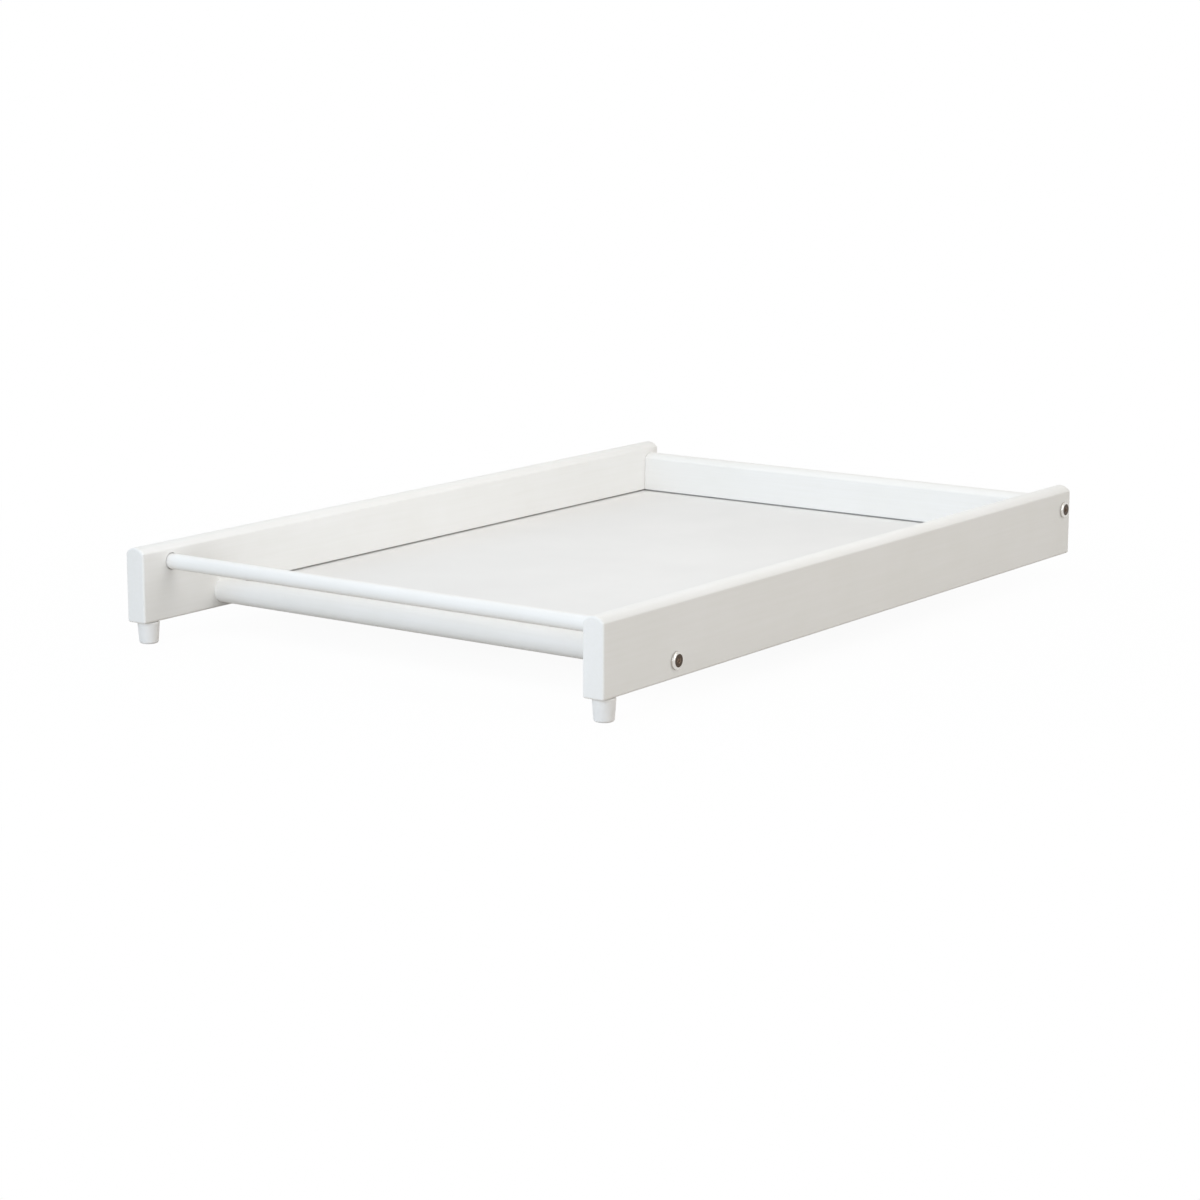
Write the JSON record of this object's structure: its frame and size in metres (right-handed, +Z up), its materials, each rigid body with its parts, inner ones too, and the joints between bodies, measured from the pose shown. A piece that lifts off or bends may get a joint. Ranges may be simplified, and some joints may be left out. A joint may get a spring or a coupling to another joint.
{
  "type": "cot top changer",
  "caption": "Shallow tray with crowned side boards, grooved base panel, round front rails and two locating pegs, laid across a cot as a changing surface.",
  "frame": {"origin": "centre of the footprint, level with the tips of the locating pegs", "axes": "+X from the left side board to the right one, +Y from the front, where the towel rail and the pegs are, to the rear board, +Z up out of the tray"},
  "size_m": [0.5288, 0.8, 0.0885],
  "materials": {
    "lacquered_wood": "satin white lacquer over beech",
    "faced_panel": "smooth white facing on fibreboard",
    "moulded_plastic": "satin moulded plastic",
    "bronzed_steel": "dark bronze plating on steel, rubbed bright round the rim",
    "zinc_plate": "dull zinc plating on steel",
    "raw_beech": "bare fluted beech"
  },
  "bodies": {
    "tray": {"side_board_left": "lacquered_wood", "side_board_right": "lacquered_wood", "rear_board": "lacquered_wood", "base_panel": "faced_panel", "panel_rail": "lacquered_wood", "locating_peg_left": "moulded_plastic", "locating_peg_right": "moulded_plastic", "front_bolt_left": "bronzed_steel", "front_bolt_right": "bronzed_steel", "rear_bolt_left": "bronzed_steel", "rear_bolt_right": "bronzed_steel", "threaded_insert_left": "zinc_plate", "threaded_insert_right": "zinc_plate", "barrel_nut_left": "zinc_plate", "barrel_nut_right": "zinc_plate", "wooden_dowel_left": "raw_beech", "wooden_dowel_right": "raw_beech"},
    "loose_rail": {"towel_rail": "lacquered_wood"}
  },
  "joints": [
    {"name": "towel_rail_spin", "type": "hinge", "parent": "tray", "child": "loose_rail", "pos_m": [0, -0.3635, 0.0724], "axis": [1, 0, 0], "continuous": true}
  ]
}
